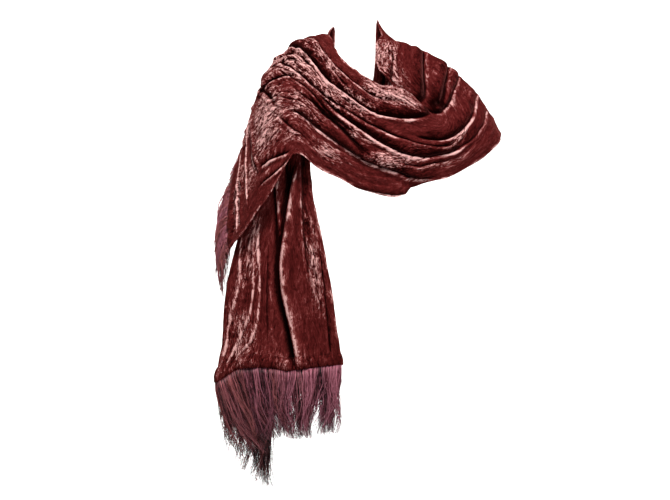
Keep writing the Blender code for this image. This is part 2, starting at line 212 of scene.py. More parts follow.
# The stretch over which a crease dies away at its ends: along the sheet in sections, and on the arm as shares
# of the sheet's width at its top and at its foot. FADE_START is the part of it beyond the path's end.
FOLD_FADE = 0.8
HANG_FADES = (0.10, 0.06)
FADE_START = 0.35
PATH_EVENINGS, HANG_EVENINGS = 12, 6  # how often a path's corners are evened out
LEAST_HEIGHT, CHANCE_HEIGHT = 0.75, 0.5  # a crease's height: what is sure, and what chance adds
# The form of a crease, in its own widths, with places below it positive: how fast its steep side falls and
# its easy side climbs, and where its roll, its lip and the overhang of the roll stand, each with its reach.
STEEP_SIDE, EASY_SIDE = 0.30, 1.4
ROLL_AT, ROLL_REACH = -1.1, 1.3
LIP_AT, LIP_REACH = 0.8, 0.55
OVERHANG_AT, OVERHANG_REACH = -0.5, 0.65
# The overhang is a share of the width, less on a wide crease, and less again where the crease isn't deep.
OVERHANG, OVERHANG_MM, DEEP_MM = 0.65, 7, 10
# The painted light that a crease puts into the pile's colour, in its own widths: a painted highlight line,
# painted shade in the crease and painted shade of the roll above it, and a painted highlight along a ridge.
# They grow with the crease's depth from MARK_LEAST up to MARK_MOST.
MARK_LEAST, MARK_MOST, MARK_PER_MM = 0.4, 1.7, 1 / 14
BRIGHT_AT, BRIGHT_REACH, BRIGHT_MOST, BRIGHT_PER_MM = 0.75, 0.22, 1.1, 1 / 6
DARK_REACH, DARK = 0.48, 1.1
SHADE_AT, SHADE_REACH, SHADE = -0.8, 0.8, 0.45
RIDGE_REACH, RIDGE = 0.4, 0.75
# Chance changes along a crease's height and painted highlight line, and along the painted highlight lines of
# the two long edges: the metres from one to the next, and for a line the gain, what is taken off and the most
# that is left.
UNEVEN_EVERY = 0.045
BROKEN_HIGHLIGHT = {"every": 0.022, "gain": 2.4, "less": 0.5, "most": 1.3}
EDGE_HIGHLIGHT = {"every": 0.018, "gain": 2.2, "less": 0.4, "most": 1.2}
# The painted highlight lines along the two long edges: their reach, strength and seed.
EDGE_HIGHLIGHT_REACH, EDGE_HIGHLIGHT_STRENGTH, EDGE_HIGHLIGHT_SEED = 0.0035, 0.5, 91
# The seeds of the creases' painted highlight lines start at this one.
BROKEN_HIGHLIGHT_SEED = 60  # the first of the seeds for the creases' bright lines

# Creases that hang down the right arm, across the sheet, in the same columns and in millimetres. path is
# (place across, section).
HANGS = (
    ("arm_front", 10, 5, 5, 6, ((0.40, 29.2), (0.585, 28.65), (0.685, 28.55), (0.75, 28.6), (0.84, 28.45))),
    ("arm_side", 10, 5, 5, 6, (
        (0.34, 29.85), (0.41, 30.1), (0.565, 29.65), (0.65, 29.65), (0.735, 29.75), (0.83, 29.85),
        (0.95, 30.05),
    )),
    ("arm_back", 9, 4, 4, 6, ((0.46, 30.35), (0.60, 30.4), (0.73, 30.25), (0.835, 30.3), (0.95, 30.45))),
    ("arm_ridge_1", -4, 0, 0, 3, ((0.42, 29.5), (0.60, 29.15), (0.76, 29.2), (0.92, 29.35))),
    ("arm_ridge_2", -4, 0, 0, 3, ((0.55, 30.0), (0.70, 30.0), (0.84, 30.1), (0.97, 30.25))),
)

# Where the pile is crushed: section, place across, reach along in sections, reach across, and how much.
CRUSHED_COLUMNS = ("place", "across", "along_reach", "across_reach", "amount")
CRUSHED = (
    (23.9, 0.29, 1.1, 0.12, 0.9),
    (22.3, 0.70, 1.1, 0.08, 0.8),
    (22.4, 0.10, 1.4, 0.10, 0.9),
    (26.6, 0.32, 1.3, 0.16, 0.9),
    (28.0, 0.30, 1.1, 0.14, 0.8),
    (27.5, 0.66, 1.0, 0.20, 0.9),
    (25.7, 0.62, 1.0, 0.16, 0.6),
    (24.8, 0.34, 1.2, 0.14, 0.8),
    (25.6, 0.16, 1.4, 0.06, 0.8),
    (21.6, 0.62, 1.4, 0.10, 0.35),
    (26.2, 0.86, 0.9, 0.06, 0.5),
    (28.9, 0.80, 0.8, 0.10, 0.4),
    (16.6, 0.55, 0.8, 0.40, 0.22),
    (23.6, 0.56, 0.9, 0.05, 0.7),
    (24.6, 0.83, 0.8, 0.08, 0.6),
    (17.6, 0.48, 0.8, 0.05, 0.4),
    (16.8, 0.06, 1.4, 0.09, 0.7),
    (19.6, 0.60, 1.2, 0.06, 0.6),
    (20.6, 0.80, 1.4, 0.05, 0.5),
    (29.1, 0.46, 1.0, 0.18, 0.65),
    (29.9, 0.75, 0.9, 0.10, 0.5),
    (2.6, 0.08, 1.2, 0.06, 0.6),
    (2.7, 0.53, 1.0, 0.09, 0.45),
    (1.0, 0.56, 1.2, 0.12, 0.45),
    (12.0, 0.45, 3.0, 0.35, 0.6),
    (0.3, 0.35, 0.5, 0.40, 0.3),
)
CRUSHED_EVERYWHERE = 0.13

# Crushed wrinkles from broad to fine: the metres from one to the next along and across the cloth, the seed,
# the height as a share of the panel's, and how much of it stands on smooth pile too.
WRINKLE_COLUMNS = ("along", "across", "seed", "height", "always")
WRINKLES = (
    (0.085, 0.024, 33, 1.3, 0.5),
    (0.036, 0.012, 34, 1.6, 0.0),
    (0.017, 0.008, 35, 0.9, 0.0),
)
# How the wrinkles bend, along and across: metres from one bend to the next each way, metres moved, seed.
# Then how the two long edges wander: metres from one turn to the next, metres moved, seed.
BENDS = {"along": (0.05, 0.04, 0.014, 31), "across": (0.06, 0.05, 0.012, 32)}
WANDER = {"inner": (0.020, 0.009, 36), "outer": (0.035, 0.006, 37)}
WANDER_FADE = 0.03  # as a share of the width
# The hanging front wanders less, up to some metres from its end, and its pattern is drawn out lengthways.
WANDER_GROWS = {"start": 0.55, "over": 0.20, "least": 0.25}
GRAIN = {"metres": (0.45, 0.60), "pace": (0.55, 1.0)}

# Stretches of the sheet, each a piece of its own: its CAD node, its sections, its mesh cells along, how it
# is held, what holds it, and the flat width and length of the cloth that shows.
STRETCH_COLUMNS = ("node", "start", "stop", "cells", "held", "rests_on", "flat")
STRETCHES = (
    ("front_fall", "front_end", "fall_0", 170, "hung", ("under_shoulder",), (0.31, 0.48)),
    ("under_shoulder", "fall_0", "nape_right_2", 56, "gathered", ("front_fall",), (0.16, 0.33)),
    ("nape_stretch", "nape_right_2", "nape_left_2", 90, "draped", (), (0.30, 0.36)),
    ("left_shoulder", "nape_left_2", "left_turn", 96, "draped", (), (0.34, 0.27)),
    ("chest_swag", "left_turn", "swag_7", 140, "draped", (), (0.26, 0.36)),
    ("right_shoulder", "swag_7", "right_3", 84, "draped", ("under_shoulder",), (0.45, 0.18)),
    ("back_fall", "right_3", "back_end", 84, "hung", (), (0.52, 0.13)),
)
COLUMNS_ACROSS = 200  # mesh cells across the sheet
CLOTH_WIDTH = 0.34  # the width that the velvet's pattern is laid out on
# The creases' painted highlight lines also count as crushed pile, by this share.
HIGHLIGHT_CRUSH = 0.5  # how crushed the pile is on a bright line
FLAP_FROM = 0.8  # the place across where the swag's outer edge starts to drop
WALL_TURN = 0.4  # how far the wall's direction is drawn from the folds' own towards the smooth sheet's
# crest paints highlight where the cloth stands proud of its evened surface and shade in its hollows.
CREST_MM, CREST_EVENINGS = 5, 14  # the height over the evened surface that counts as a crest
# How far the front end hangs below a straight line, from the inner edge to the outer one, and the reach
# above it.
FRONT_END = {
    "across": (0.0, 0.08, 0.20, 0.28, 0.38, 0.46, 0.54, 0.60, 0.64, 0.72, 0.85, 1.0),
    "drop_mm": (0, 1, 5, 9, -2, -4, -4, 10, 22, 6, 0, 0),
    "reach": 0.11,
}
HEM_DEPTH = 0.030
HEM_CELLS = 12  # mesh cells along the sheet in each hem
# A hem's fullness: uneven by chance every so many metres across and along the sheet, and less at its corners.
HEM_UNEVEN = {"least": 0.7, "chance": 0.6, "across": 0.012, "along": 0.05, "seed": 41}
HEM_CORNER, HEM_CORNER_REACH = 0.3, 0.05
HEM_SEAM_HALF = 0.0009  # half the hem's thickness where it is tucked under the velvet

# The fringes from the inner edge (0) to the outer one (1): the strands' length, how far they belly out, how
# far they lean away from the arm, how dense they stand, how far their tips are swept to the wearer's left,
# and how brown they are. pale is the middle of their shade, loose how far single strands sway, and ragged
# the most that a strand falls short of its length.
FRONT_FRINGE = {
    "across": (0.0, 0.15, 0.30, 0.42, 0.55, 0.62, 0.68, 0.76, 0.86, 0.94, 1.0),
    "length_mm": (150, 158, 150, 158, 160, 165, 140, 165, 200, 215, 215),
    "belly_mm": (14, 16, 16, 14, 12, 9, 5, 12, 16, 16, 16),
    "density": (1, 1, 1, 1, 1, 0.8, 0.35, 0.35, 0.6, 0.9, 0.9),
    "sweep_mm": (-16, -8, 4, 26, 60, 84, 20, 8, 4, -6, -20),
    "brown": (0.0, 0.0, 0.1, 0.2, 0.4, 0.6, 1.0, 1.0, 1.0, 0.9, 0.9),
    "pale": 0.22,
    "loose": 1.2,
    "ragged": 0.36,
}
BACK_FRINGE = {
    "across": (0.0, 0.3, 0.5, 0.8, 0.9, 1.0),
    "length_mm": (120, 130, 140, 130, 125, 130),
    "belly_mm": (14, 15, 16, 16, 15, 14),
    "lean": (0, 0.2, 0.3, 1.0, 0.8, 0.6),
    "density": (1, 1, 1, 1, 1, 1),
    "sweep_mm": (0, 0, 0, 2, 6, 10),
    "brown": (0.4, 0.4, 0.4, 0.4, 0.6, 1.0),
    "pale": 1.0,
    "loose": 3.0,
    "ragged": 0.85,
}
LEAN_AWAY = np.array([-1.0, 0.0, -0.8])
RINGS = 9  # rings of three points down each strand
FRINGE_TUCK = 0.002  # how far the strands' roots stand inside the hem
ROOT_SPREAD = 0.0018  # how far in front of the hem's middle, or behind it, a strand starts
TURN = 6.28  # radians in a full turn
# Strands gather into locks: strands to a lock, how many locks a strand may be off by, and how far it is
# drawn to its lock's middle. A stray strand is drawn less and stands out more.
LOCK = {"strands": 48, "mixed": 1.1, "drawn": 0.86}
STRAY = {"share": 0.14, "drawn": 0.25, "out": 3.2, "others_out": 0.8}
# Sideways moves in metres: a lock's sway and drift, and a single strand's sway and stray.
LOCK_SWAY, LOCK_DRIFT, STRAND_SWAY, STRAND_STRAY = 0.0115, 0.007, 0.0034, 0.0036
# A strand's tone: how much of it is its own chance, and how much painted shade its lock's depth and its own
# depth in the fringe put on it, darker towards the back.
OWN_SHADE, LOCK_DEPTH_PAINTED_SHADE, STRAND_DEPTH_PAINTED_SHADE, BROWN_CHANCE = 0.52, 0.24, 0.20, 0.25
TIP_TAPER, TAPER_POWER = 0.72, 1.5  # how much of its radius a strand loses, by its share to this power

# The velvet's patterns: cells a metre along and across the cloth, detail, roughness and distortion.
FLECKS = ((85, 220), 7.0, 0.84, 1.2)
PATCHES = ((18, 44), 3.0, 0.55, 0.8)
NAP = ((420, 1100), 3.0, 0.6, 0.0)
# The pile's tone: its middle, how far the flecks swing it on smooth and on crushed pile, and the share of
# each other value in it. Then the tone at which each colour of the pile stands.
MIDDLE_TONE, SMOOTH_SWING, CRUSHED_SWING = 0.27, 0.5, 20.0
# In the tone, crest and edge are painted highlight and painted shade; patches and nap are the pile's own
# unevenness.
SHARES = {"crest": 0.50, "patches": 0.40, "nap": 0.20, "edge": 0.45, "crushed": 0.22}
# The darkest colour is also the painted shade of creases and hollows, the paler ones also painted highlights
# on crests, crease lips and long edges.
PILE_TONES = {"deep_pile_and_shade": 0.0, "pile": 0.35, "pile_lit": 0.52, "pile_pale": 0.62, "pile_crushed": 0.76}
NAP_RELIEF = 0.12  # the nap's share of the fine relief, beside the flecks'
HEM_DARKER = 0.10  # how much lower the hems' tone is

# The paper lies flat to the front and sweeps up a quarter circle into an upright backdrop.
PAPER = {"front": -11.0, "bend_start": 5.6, "bend": 1.2, "height": 8.0, "side": 9.0}
CHEST = (0.0, 0.0, -0.25)
LIGHT_COLUMNS = ("name", "place", "toward", "size", "power", "colour")
LIGHTS = (
    ("key", (0.1, -2.1, 2.7), CHEST, 0.7, "key", (1.0, 0.985, 0.96)),
    ("fill", (2.4, -2.6, 0.3), CHEST, 1.8, "fill", (0.97, 0.98, 1.0)),
    ("paper_light", (-1.6, 3.6, 1.6), (-0.8, 6.8, -0.6), 2.0, "paper_light", (1.0, 1.0, 1.0)),
    ("paper_light", (1.6, 3.6, 1.6), (0.8, 6.8, -0.6), 2.0, "paper_light", (1.0, 1.0, 1.0)),
)
# The camera is level, in front of the stole and a little to its right.
CAMERA = {"place": (-0.043, -4.0, -0.4275), "lens": 95.5, "sensor": 36.0}


def unit(vectors):
    """The vectors, each divided by its own length."""
    return vectors / np.maximum(np.linalg.norm(vectors, axis=-1, keepdims=True), 1e-12)


def rise(x):
    """0 below 0, 1 above 1 and 3x² - 2x³ between."""
    x = np.clip(x, 0, 1)
    return x * x * (3 - 2 * x)


def bump(x):
    """A bell, exp(-x²)."""
    return np.exp(-x * x)


def rows_of(columns, rows):
    """A table's rows, each with its values under the columns' names."""
    return [dict(zip(columns, row)) for row in rows]


def evened(values, times, axis=0):
    """values with each one averaged a quarter, a half, a quarter with its neighbours, some times over."""
    values = np.moveaxis(np.array(values, float), axis, 0)
    for _ in range(times):
        padded = np.concatenate([values[:1], values, values[-1:]])
        values = (padded[:-2] + 2 * padded[1:-1] + padded[2:]) / 4
    return np.moveaxis(values, 0, axis)


def mottle(x, y, seed):
    """Smooth chance values from 0 to 1: a table of them at whole x and y, blended by rise in between."""
    table = np.random.default_rng(seed).random((128, 128))
    i, j = np.floor(x).astype(int), np.floor(y).astype(int)
    a, b = rise(x - i), rise(y - j)
    low = table[i % 128, j % 128] * (1 - a) + table[(i + 1) % 128, j % 128] * a
    high = table[i % 128, (j + 1) % 128] * (1 - a) + table[(i + 1) % 128, (j + 1) % 128] * a
    return low * (1 - b) + high * b


def wrinkle(x, y, seed):
    """Sharp-crested chance wrinkles from 0 to 1: one less the distance of mottle from its middle, doubled."""
    return 1 - np.abs(2 * mottle(x, y, seed) - 1)


def section_points(inner, crest, outer, full, across):
    """Points spaced evenly by length along a conic from inner to outer that passes through crest."""
    inner, crest, outer = (np.array(p, float) * MM for p in (inner, crest, outer))
    corner = crest + (crest - (inner + outer) / 2) / full
    t = np.linspace(0, 1, 400)[:, None]
    weights = (1 - t) ** 2, 2 * full * t * (1 - t), t**2
    curve = (weights[0] * inner + weights[1] * corner + weights[2] * outer) / sum(weights)
    steps = np.linalg.norm(np.diff(curve, axis=0), axis=1)
    length = np.concatenate([[0], np.cumsum(steps)])
    return np.stack([np.interp(across * length[-1], length, curve[:, k]) for k in range(3)], axis=1)


def smooth_between(knots, places, at):
    """Cubic Hermite curves through the knots' points, with slopes from each knot's two neighbours."""
    gap = np.diff(places)
    slope = np.diff(knots, axis=0) / gap[:, None, None]
    tangent = np.concatenate([slope[:1], slope, slope[-1:]])
    share = np.concatenate([[0.5], gap[:-1] / (gap[:-1] + gap[1:]), [0.5]])[:, None, None]
    tangent = tangent[:-1] * (1 - share) + tangent[1:] * share
    i = np.clip(np.searchsorted(places, at, side="right") - 1, 0, len(gap) - 1)
    h = gap[i][:, None, None]
    t = ((at - places[i]) / gap[i])[:, None, None]
    return (
        (1 + 2 * t) * (1 - t) ** 2 * knots[i]
        + t * (1 - t) ** 2 * h * tangent[i]
        + t * t * (3 - 2 * t) * knots[i + 1]
        + t * t * (t - 1) * h * tangent[i + 1]
    )


def base_sheet(along, across):
    """The sheet without its folds: sections blended smoothly along it."""
    sections = rows_of(SECTION_COLUMNS, SECTIONS)
    knots = np.array(
        [section_points(s["inner"], s["crest"], s["outer"], s["full"], across) for s in sections]
    )
    middles = knots.mean(axis=1)
    reach = np.concatenate([[0], np.cumsum(np.linalg.norm(np.diff(middles, axis=0), axis=1))])
    return smooth_between(knots, reach, np.interp(along, np.arange(len(reach)), reach))


def crease(x, fold):
    """(height, slide) at distance x below a crease.

    Above it the cloth swells to a bell-shaped roll and drops by exp(x / steep side). Below, it climbs slowly,
    by exp(-x / easy side), past a narrow bell-shaped lip. slide pushes the roll over the crease.
    """
    w = fold["width"] * MM
    drop = np.exp(np.minimum(x, 0) / (STEEP_SIDE * w)) * np.exp(-np.maximum(x, 0) / (EASY_SIDE * w))
    height = -fold["depth"] * drop
    height += fold["roll"] * bump((x - ROLL_AT * w) / (ROLL_REACH * w))
    height += fold["lip"] * bump((x - LIP_AT * w) / (LIP_REACH * w))
    reach = min(OVERHANG * w, (OVERHANG_MM * MM) ** 2 / w) * min(max(fold["depth"], 0) / DEEP_MM, 1)
    return height * MM, reach * bump((x - OVERHANG_AT * w) / (OVERHANG_REACH * w))


def crease_highlight_and_shade(x, fold):
    """The painted light of a crease on the pile: a painted highlight bell on its lip less painted shade in
    it, or a painted highlight along a ridge.

    Where lip is below 0 the painted highlight lies on the roll instead and the broad painted shade beyond the
    crease.
    """
    w = fold["width"] * MM
    if fold["depth"] < 0:
        return RIDGE * bump(x / (RIDGE_REACH * w))
    x = x * np.sign(fold["lip"])
    strength = min(MARK_LEAST + fold["depth"] * MARK_PER_MM, MARK_MOST)
    bright = min(strength, BRIGHT_MOST) * abs(fold["lip"]) * BRIGHT_PER_MM
    dark = DARK * bump(x / (DARK_REACH * w)) + SHADE * bump((x - SHADE_AT * w) / (SHADE_REACH * w))
    return bright * bump((x - BRIGHT_AT * w) / (BRIGHT_REACH * w)) - strength * dark


def fading(at, path, before, after):
    """1 along a path and 0 well past its ends, blended by rise over before and after."""
    start, end = path[0, 0], path[-1, 0]
    return rise((at - start) / before + FADE_START) * rise((end - at) / after + FADE_START)


def chance_along(lengths, every, seed):
    """mottle along the sheet, changing every so many metres."""
    return mottle(lengths / every, np.full_like(lengths, 0.5), seed)


def broken(lengths, line, seed):
    """How bright a painted highlight line is along the sheet: chance values with a gain, less a little, so
    that it has gaps.
    """
    return np.clip(line["gain"] * chance_along(lengths, line["every"], seed) - line["less"], 0, line["most"])


def fold_relief(along, across, lengths, width, pace):
    """(lift off the base, slide across, edge) of all creases. A crease's x is measured square to its path.

    edge is painted light: up to 1.2 for painted highlight on the lip below a crease, along a ridge or along a
    long edge, and down to -2 for painted shade in the crease itself.
    """
    u, v = np.meshgrid(along, across, indexing="ij")
    lift, slide, edge = np.zeros_like(u), np.zeros_like(u), np.zeros_like(u)
    for seed, fold in enumerate(rows_of(FOLD_COLUMNS, FOLDS)):
        path = np.array(fold["path"])
        place = evened(np.interp(along, path[:, 0], path[:, 1]), PATH_EVENINGS)
        lean = np.gradient(place, lengths) * width
        x = (v - place[:, None]) * (width / np.sqrt(1 + lean * lean))[:, None]
        ends = fading(along, path, FOLD_FADE, FOLD_FADE)[:, None]
        uneven = LEAST_HEIGHT + CHANCE_HEIGHT * chance_along(lengths, UNEVEN_EVERY, seed)
        height, over = crease(x, fold)
        mark = crease_highlight_and_shade(x, fold)
        gaps = broken(lengths, BROKEN_HIGHLIGHT, BROKEN_HIGHLIGHT_SEED + seed)[:, None]
        lift += ends * uneven[:, None] * height
        slide += ends * over
        edge += ends * np.where(mark > 0, mark * gaps, mark)
    for fold in rows_of(FOLD_COLUMNS, HANGS):
        path = np.array(fold["path"])
        place = evened(np.interp(across, path[:, 0], path[:, 1]), HANG_EVENINGS)
        ends = fading(across, path, *HANG_FADES)
        x = (u - place) * pace
        lift += ends * crease(x, fold)[0]
        edge += ends * crease_highlight_and_shade(x, fold)
    for swell in rows_of(SWELL_COLUMNS, SWELLS):
        x = (u - swell["place"]) / swell["along_reach"]
        y = (v - swell["across"]) / swell["across_reach"]
        lift += swell["height_mm"] * MM * bump(x) * bump(y)
    # Painted highlight lines along the two long edges, with gaps.
    from_edges = ((1 - v) * width[:, None], v * width[:, None])
    line = EDGE_HIGHLIGHT_STRENGTH * broken(lengths, EDGE_HIGHLIGHT, EDGE_HIGHLIGHT_SEED)[:, None]
    edge += line * sum(bump(x / EDGE_HIGHLIGHT_REACH) for x in from_edges)
    near = bump((u - PINCH["place"]) / PINCH["reach"]) * rise(1 - v / PINCH["across"])
    return lift * (1 - PINCH["flattened"] * near), slide * (1 - near), np.clip(edge, -2, 1.2)


def crushed_pile(along, across):
    """How crushed the pile is, from 0 to 1: a little everywhere, and a bell round each row of the table."""
    u, v = np.meshgrid(along, across, indexing="ij")
    amount = np.full_like(u, CRUSHED_EVERYWHERE)
    for zone in rows_of(CRUSHED_COLUMNS, CRUSHED):
        x = (u - zone["place"]) / zone["along_reach"]
        y = (v - zone["across"]) / zone["across_reach"]
        amount = np.maximum(amount, zone["amount"] * bump(np.sqrt(x * x + y * y)))
    return amount


def crush_relief(s, t, amount):
    """Sharp wrinkles of several sizes, higher where the pile is crushed, on coordinates bent by mottle."""
    bends = []
    for every_s, every_t, moved, seed in (BENDS["along"], BENDS["across"]):
        bends.append(moved * (mottle(s / every_s, t / every_t, seed) - 0.5))
    relief = np.zeros_like(s)
    for size in rows_of(WRINKLE_COLUMNS, WRINKLES):
        folded = wrinkle((s + bends[0]) / size["along"], (t + bends[1]) / size["across"], size["seed"]) - 0.5
        relief += size["height"] * (size["always"] + (1 - size["always"]) * amount) * folded
    return relief


def edge_wander(s, v):
    """How far the two long edges wander, along the cloth's width: mottle that dies away from each edge."""
    total = np.zeros_like(v)
    for edge, away in (("inner", v), ("outer", 1 - v)):
        every, moved, seed = WANDER[edge]
        total += moved * (mottle(s / every, np.full_like(s, 0.3), seed) - 0.5) * np.exp(-away / WANDER_FADE)
    least = WANDER_GROWS["least"]
    return total * (least + (1 - least) * rise((s - WANDER_GROWS["start"]) / WANDER_GROWS["over"]))


def sheet_rows(numbers, reach):
    """(the section number of each row of the grid, the first and last row of each piece)."""

    def moved(place, metres):
        """The section number some metres further along than place."""
        return float(np.interp(np.interp(place, numbers, reach) + metres, reach, numbers))

    front_seam, back_seam = moved(0.0, HEM_DEPTH), moved(LAST, -HEM_DEPTH)
    spans = [("front_hem", 0.0, front_seam, HEM_CELLS)]
    for row in rows_of(STRETCH_COLUMNS, STRETCHES):
        first, last = max(AT[row["start"]], front_seam), min(AT[row["stop"]], back_seam)
        spans.append((row["node"], first, last, row["cells"]))
    spans.append(("back_hem", back_seam, LAST, HEM_CELLS))
    parts = [np.linspace(first, last, cells + 1)[:-1] for _, first, last, cells in spans]
    firsts = np.concatenate([[0], np.cumsum([cells for _, _, _, cells in spans])])
    rows = {name: (firsts[i], firsts[i + 1]) for i, (name, _, _, _) in enumerate(spans)}
    return np.concatenate(parts + [[LAST]]), rows


@functools.lru_cache(maxsize=2)
def worn_sheet(fold_depth, crush_height):
    """The whole sheet on one grid: its points, directions, cloth coordinates, pile, and the painted highlight
    and shade of its crests, creases and long edges.

    points = base + facing x (folds + crushed wrinkles) + down the sheet x (overhangs, flap and wander) + the
    front end's drop.
    """
    across = np.linspace(0, 1, COLUMNS_ACROSS + 1)
    numbers = np.linspace(0, LAST, 600)
    middle = base_sheet(numbers, across).mean(axis=1)
    reach = np.concatenate([[0], np.cumsum(np.linalg.norm(np.diff(middle, axis=0), axis=1))])
    along, rows = sheet_rows(numbers, reach)

    base = base_sheet(along, across)
    width = np.linalg.norm(np.diff(base, axis=1), axis=2).sum(axis=1)
    lengths = np.interp(along, numbers, reach)
    pace = np.linalg.norm(np.gradient(base, along, axis=0), axis=2)
    down = unit(np.gradient(base, axis=1))
    facing = unit(np.cross(np.gradient(base, axis=0), down))

    folds, slide, edge = fold_relief(along, across, lengths, width, pace)
    s, v = np.meshgrid(lengths, across, indexing="ij")
    t = v * CLOTH_WIDTH
    # The creases' painted highlight lines, spread out, are added to the crushed pile.
    painted_highlight_lines = evened(evened(np.maximum(edge, 0), 4, 0), 5, 1)
    crushed = np.clip(crushed_pile(along, across) + HIGHLIGHT_CRUSH * painted_highlight_lines, 0, 1)
    lift = folds * fold_depth + crush_relief(s, t, crushed) * crush_height
    flap = np.interp(along, OUTER_EDGE["place"], OUTER_EDGE["drop_mm"])[:, None] * MM
    slide = slide * fold_depth + flap * rise((v - FLAP_FROM) / (1 - FLAP_FROM)) + edge_wander(s, v)
    drop = evened(np.interp(across, FRONT_END["across"], FRONT_END["drop_mm"]), 40) * MM
    points = base + facing * lift[:, :, None] + down * slide[:, :, None]
    points += DOWN * (drop * rise(1 - s / FRONT_END["reach"]))[:, :, None]

    grain_pace = np.interp(lengths, GRAIN["metres"], GRAIN["pace"])
    steps = (grain_pace[1:] + grain_pace[:-1]) / 2 * np.diff(lengths)
    grain = np.repeat(np.concatenate([[0], np.cumsum(steps)])[:, None], len(across), axis=1)
    turned = unit(np.cross(np.gradient(points, axis=0), np.gradient(points, axis=1)))
    proud = lift - evened(evened(lift, CREST_EVENINGS, 0), CREST_EVENINGS, 1)
    return {
        "across": across,
        "rows": rows,
        "points": points,
        "shading": turned,
        "normals": unit(turned + WALL_TURN * facing),
        "cloth": np.stack([grain, t], axis=2),
        # crest is painted highlight on what stands proud and painted shade in the hollows; edge is painted
        # light.
        "crest": np.clip(0.5 + proud / (CREST_MM * MM), 0, 1),
        "crushed": crushed,
        "edge": edge,
    }


def wall_mesh(name, middle, normals, half, shading):
    """A closed wall round a grid of points: a loop of points round each row, carried along the sheet.

    The loop runs down the face, round a rim half a wall beyond the edge, and back up the inside. Both ends
    are closed. half is half the wall's thickness for each row or each point. shading, or None, is the smooth
    normals.
    """
    half = half[:, None, None] if np.ndim(half) == 1 else half[:, :, None]
    face, back = middle + normals * half, middle - normals * half
    rims = []
    for edge, inside in ((-1, -2), (0, 1)):
        out = unit(middle[:, edge] - middle[:, inside])
        rims.append((out, (middle[:, edge] + out * half[:, edge])[:, None]))
    loop = np.concatenate([face, rims[0][1], back[:, ::-1], rims[1][1]], axis=1)
    rows, columns = middle.shape[:2]
    size = loop.shape[1]
    index = np.arange(rows * size).reshape(rows, size)
    ahead = np.roll(index, -1, axis=1)
    quads = [np.stack([index[:-1], index[1:], ahead[1:], ahead[:-1]], axis=2).reshape(-1, 4)]
    triangles = []
    for row, turn in ((0, 1), (-1, -1)):
        front, behind = index[row, :columns], index[row, 2 * columns : columns : -1]
        ends = np.stack([front[:-1], front[1:], behind[1:], behind[:-1]], axis=1)
        tips = np.array(
            [[front[-1], index[row, columns], behind[-1]], [index[row, -1], front[0], behind[0]]]
        )
        quads.append(ends[:, ::turn])
        triangles.append(tips[:, ::turn])
    mesh = bpy.data.meshes.new(name)
    faces = np.concatenate(quads).tolist() + np.concatenate(triangles).tolist()
    mesh.from_pydata(loop.reshape(-1, 3), [], faces)
    mesh.shade_smooth()
    if shading is not None:
        first_rim, last_rim = (out[:, None] for out, _ in rims)
        around = np.concatenate([shading, first_rim, -shading[:, ::-1], last_rim], axis=1)
        mesh.normals_split_custom_set_from_vertices(around.reshape(-1, 3))
    return mesh


def round_loop(values):
    """Values of the grid laid on the loop that wall_mesh makes: face, rim, inside, rim."""
    return np.concatenate([values, values[:, -1:], values[:, ::-1], values[:, :1]], axis=1)


def give_value(mesh, name, values):
    """A value for each point, under a name that a material reads."""
    layer = mesh.attributes.new(name, "FLOAT", "POINT")
    layer.data.foreach_set("value", np.ascontiguousarray(values, np.float32).ravel())


def give_cloth_coordinates(mesh, coordinates):
    """A UV map in metres along and across the cloth, from a coordinate for each point."""
    corner = np.empty(len(mesh.loops), int)
    mesh.loops.foreach_get("vertex_index", corner)
    layer = mesh.uv_layers.new(name="cloth")
    layer.uv.foreach_set("vector", coordinates.reshape(-1, 2)[corner].astype(np.float32).ravel())


def finished_piece(name, mesh, material, node):
    """The piece in the scene, on the body root, in place of its CAD node."""
    mesh.materials.append(material)
    piece = bpy.data.objects.new(name, mesh)
    bpy.context.scene.collection.objects.link(piece)
    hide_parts(node)
    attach(piece, "root")
    return piece


def sheet_part(name, sheet, node, half, shaded):
    """The mesh of one run of the sheet's rows, with its cloth coordinates and pile values."""
    first, last = sheet["rows"][node]
    part = slice(first, last + 1)
    shading = sheet["shading"][part] if shaded else None
    mesh = wall_mesh(name, sheet["points"][part], sheet["normals"][part], half, shading)
    give_cloth_coordinates(mesh, round_loop(sheet["cloth"][part]))
    # crest and edge carry painted highlight and shade; crushed also holds part of the painted highlight
    # lines.
    give_value(mesh, "crest", round_loop(sheet["crest"][part]))
    give_value(mesh, "crushed", round_loop(sheet["crushed"][part]))
    give_value(mesh, "edge", round_loop(sheet["edge"][part]))
    return mesh


def strand_mesh(name, centres, facing, radius):
    """Closed tubes of three sides, each narrowing to its tip, round many centre lines at once.

    A ring's points stand at three even angles round the line, square to it.
    """
    count, rings = centres.shape[:2]
    tangent = unit(np.gradient(centres, axis=1))
    side = unit(np.cross(tangent, facing[:, None]))
    front = np.cross(side, tangent)
    angle = np.arange(3) * 2 * np.pi / 3
    spread = side[:, :, None] * np.cos(angle)[:, None] + front[:, :, None] * np.sin(angle)[:, None]
    points = centres[:, :, None] + spread * radius[:, :, None, None]
    index = np.arange(count * rings * 3).reshape(count, rings, 3)
    ahead = np.roll(index, -1, axis=2)
    quads = np.stack([index[:, :-1], index[:, 1:], ahead[:, 1:], ahead[:, :-1]], axis=3).reshape(-1, 4)
    tips = np.concatenate([index[:, 0], index[:, -1, ::-1]])
    mesh = bpy.data.meshes.new(name)
    mesh.from_pydata(points.reshape(-1, 3), [], quads.tolist() + tips.tolist())
    mesh.shade_smooth()
    return mesh


